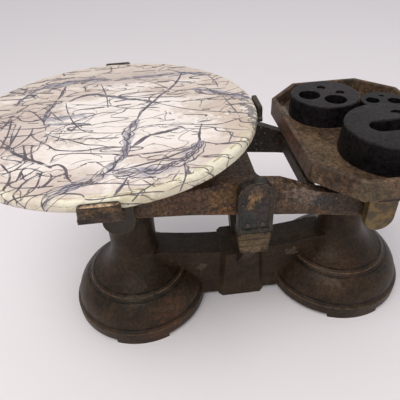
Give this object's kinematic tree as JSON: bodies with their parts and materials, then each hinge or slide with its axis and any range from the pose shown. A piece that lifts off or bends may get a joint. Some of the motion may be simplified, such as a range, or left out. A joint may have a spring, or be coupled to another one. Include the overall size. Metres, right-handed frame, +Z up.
{
  "type": "counter balance scale",
  "caption": "Cast-iron equal-arm counter scale with a round marble goods plate, an octagonal weight tray and loose round weights.",
  "frame": {"origin": "on the floor, at the middle of the scale's length and depth", "axes": "+Z up, out of the plate's top face; +X along the arms towards the weights side; -Y to the front"},
  "size_m": [0.498, 0.3, 0.266],
  "materials": {
    "base_iron": "satin, dark brown patina",
    "beam_iron": "matt, rusted brown",
    "carrier_iron": "matt, rusted",
    "tray_iron": "matt, light rust",
    "weight_iron": "satin, blackened",
    "cover_iron": "satin, dark with worn gilding",
    "cap_brass": "tarnished",
    "steel": "dull",
    "lead": "dull grey",
    "marble": "polished, blue-grey veins"
  },
  "bodies": {
    "base": {"base_casting": "base_iron", "fulcrum_bearing_front": "steel", "fulcrum_bearing_rear": "steel", "arch_cover_front": "cover_iron", "arch_cover_rear": "cover_iron", "cover_screws_front": "steel", "cover_screws_rear": "steel", "stay_pivot_pin": "steel"},
    "beam": {"beam_casting": "beam_iron", "left_knife_front": "steel", "left_knife_rear": "steel", "fulcrum_knife_front": "steel", "fulcrum_knife_rear": "steel", "right_knife_front": "steel", "right_knife_rear": "steel"},
    "stay": {"stay": "steel"},
    "goods_carriage": {"goods_carrier": "carrier_iron", "left_stem": "steel", "left_stem_pin": "steel", "left_stem_nut": "steel", "left_bearing_front": "steel", "left_bearing_rear": "steel", "left_end_cap_front": "cap_brass", "left_end_cap_rear": "cap_brass"},
    "marble_plate": {"marble_plate": "marble"},
    "weights_carriage": {"weights_carrier": "carrier_iron", "right_stem": "steel", "right_stem_pin": "steel", "right_stem_nut": "steel", "right_bearing_front": "steel", "right_bearing_rear": "steel", "right_end_cap_front": "cap_brass", "right_end_cap_rear": "cap_brass", "balance_lid": "carrier_iron", "balance_lid_screws": "steel", "balance_lead": "lead"},
    "weight_tray": {"weight_tray": "tray_iron"},
    "large_weight": {"large_weight": "weight_iron", "large_weight_plug": "lead"},
    "middle_weight": {"middle_weight": "weight_iron", "middle_weight_plugs": "lead"},
    "small_weight": {"small_weight": "weight_iron", "small_weight_plugs": "lead"}
  },
  "joints": [
    {"name": "beam_rock", "type": "hinge", "parent": "base", "child": "beam", "pos_m": [0.03204, 0, 0.188], "axis": [0, -1, 0], "range_deg": [0, 13.6]},
    {"name": "goods_carriage_hang", "type": "hinge", "parent": "beam", "child": "goods_carriage", "pos_m": [-0.09904, 0, 0.20363], "axis": [0, -1, 0], "range_deg": [-13.6, 0]},
    {"name": "weights_carriage_hang", "type": "hinge", "parent": "beam", "child": "weights_carriage", "pos_m": [0.16311, 0, 0.17237], "axis": [0, -1, 0], "range_deg": [-13.6, 0]},
    {"name": "stay_turn", "type": "hinge", "parent": "base", "child": "stay", "pos_m": [0.03204, 0, 0.03], "axis": [0, -1, 0], "range_deg": [0, 13.6]},
    {"name": "plate_lift", "type": "slide", "parent": "goods_carriage", "child": "marble_plate", "axis": [0, 0, 1], "range_m": [0, 0.08]},
    {"name": "tray_lift", "type": "slide", "parent": "weights_carriage", "child": "weight_tray", "axis": [0, 0, 1], "range_m": [0, 0.08]},
    {"name": "large_weight_lift", "type": "slide", "parent": "weight_tray", "child": "large_weight", "axis": [0, 0, 1], "range_m": [0, 0.1]},
    {"name": "middle_weight_lift", "type": "slide", "parent": "weight_tray", "child": "middle_weight", "axis": [0, 0, 1], "range_m": [0, 0.1]},
    {"name": "small_weight_lift", "type": "slide", "parent": "weight_tray", "child": "small_weight", "axis": [0, 0, 1], "range_m": [0, 0.1]}
  ],
  "couplings": [
    {"joint": "goods_carriage_hang", "follows": "beam_rock", "ratio": -1},
    {"joint": "weights_carriage_hang", "follows": "beam_rock", "ratio": -1},
    {"joint": "stay_turn", "follows": "beam_rock", "ratio": 1}
  ]
}
